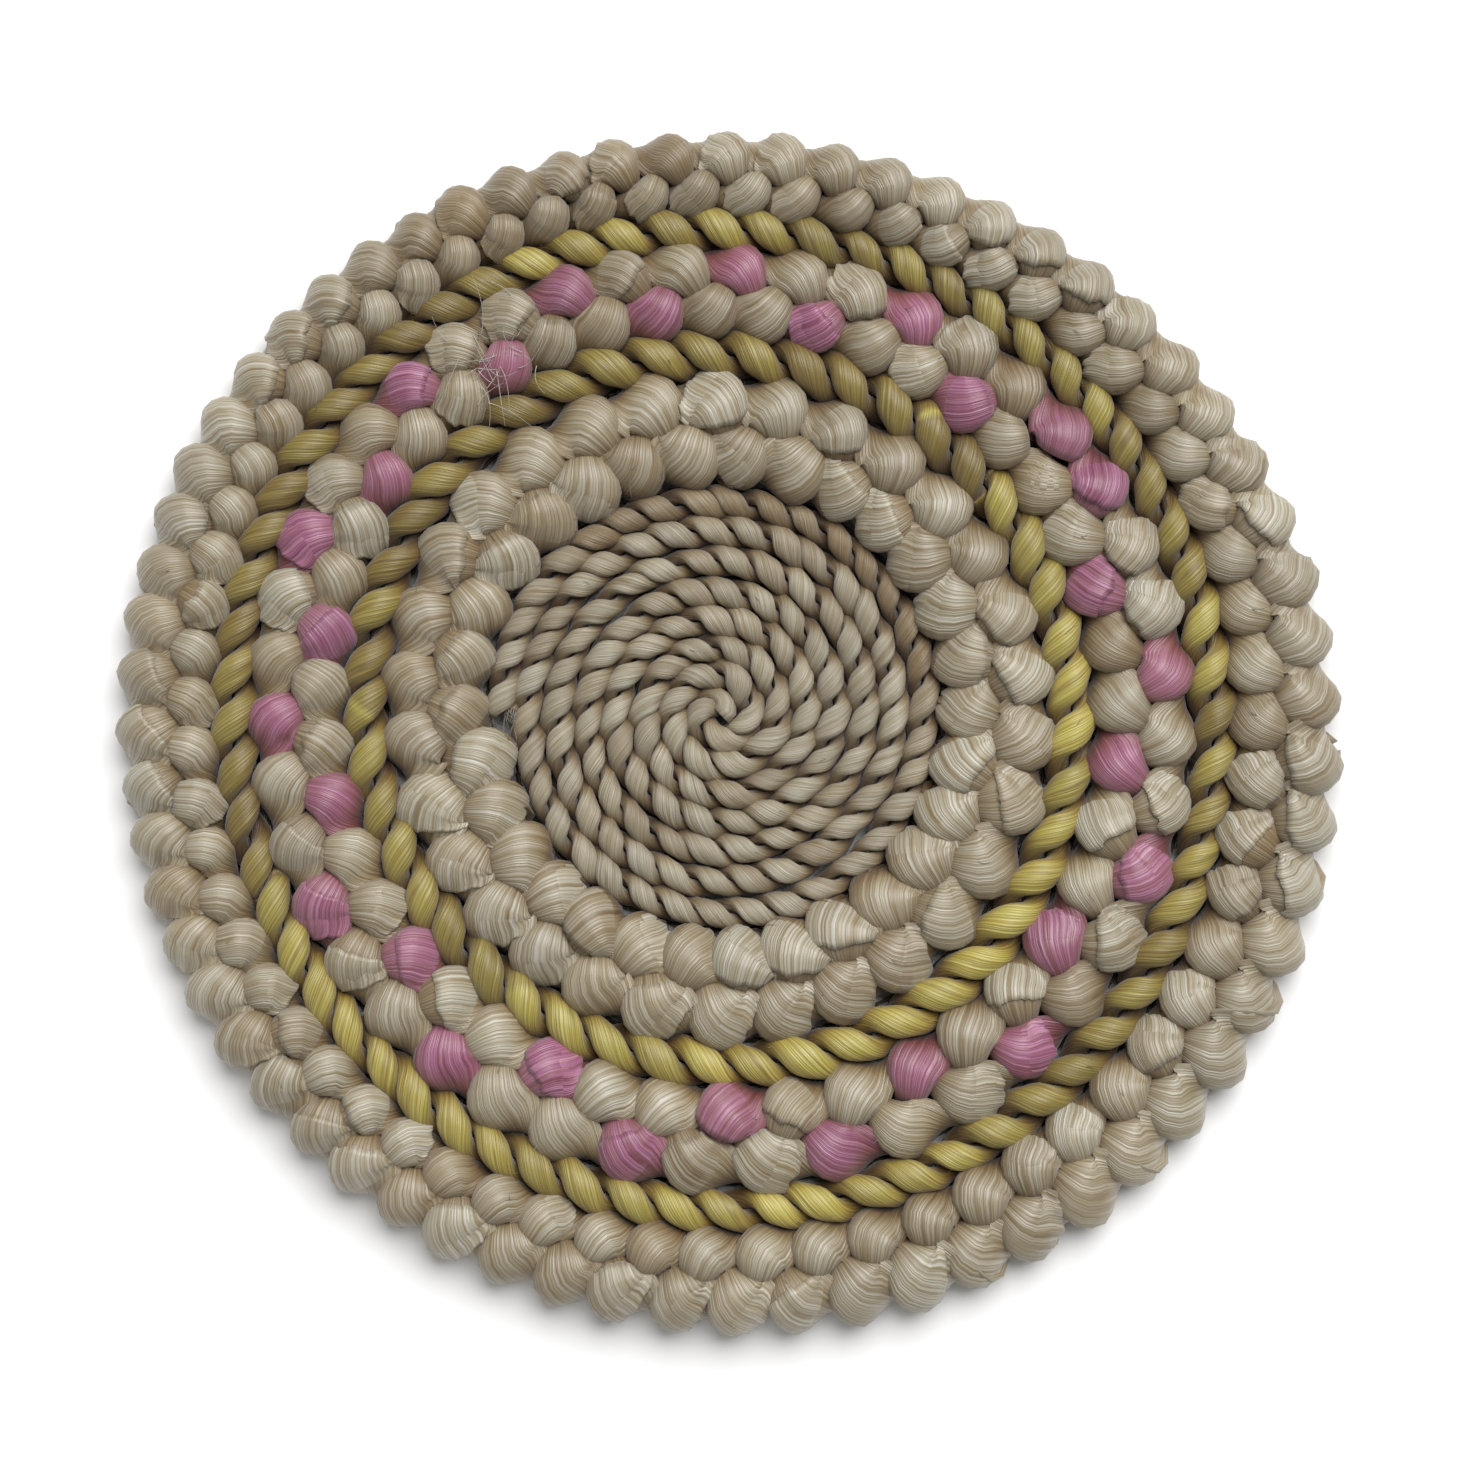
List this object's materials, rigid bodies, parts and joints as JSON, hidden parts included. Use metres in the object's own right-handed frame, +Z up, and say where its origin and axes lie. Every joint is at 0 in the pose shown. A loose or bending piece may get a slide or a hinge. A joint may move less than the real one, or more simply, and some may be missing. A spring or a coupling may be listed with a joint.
{
  "type": "chair seat pad",
  "caption": "Round seat pad for a chair, of plaited and twisted corn husk in cream, with yellow cords and a pink strand, sewn edge to edge round a coiled cord",
  "frame": {"origin": "on the resting surface, under the middle of the pad's outline", "axes": "+Z up out of the seat, the pad lying flat; +X and +Y in its plane, with the coil's cut end towards -X"},
  "size_m": [0.4002, 0.3928, 0.021],
  "materials": {
    "cream_husk": "dry corn husk with a satin sheen",
    "pink_husk": "dyed corn husk with a satin sheen",
    "yellow_husk": "dyed corn husk with a satin sheen",
    "sewing_thread": "matt cotton thread"
  },
  "bodies": {
    "root": {"centre_coil_ply_a": "cream_husk", "centre_coil_ply_b": "cream_husk", "coil_seam_thread": "sewing_thread", "coil_to_inner_braid_thread": "sewing_thread", "inner_braid_strand_1": "cream_husk", "inner_braid_strand_2": "cream_husk", "inner_braid_strand_3": "cream_husk", "inner_braid_to_yellow_thread": "sewing_thread", "inner_yellow_ply_a": "yellow_husk", "inner_yellow_ply_b": "yellow_husk", "yellow_to_mixed_braid_thread": "sewing_thread", "mixed_braid_pink_strand": "pink_husk", "mixed_braid_cream_strand_1": "cream_husk", "mixed_braid_cream_strand_2": "cream_husk", "mixed_braid_to_yellow_thread": "sewing_thread", "outer_yellow_ply_a": "yellow_husk", "outer_yellow_ply_b": "yellow_husk", "yellow_to_outer_braid_thread": "sewing_thread", "outer_braid_strand_1": "cream_husk", "outer_braid_strand_2": "cream_husk", "outer_braid_strand_3": "cream_husk"}
  },
  "joints": []
}
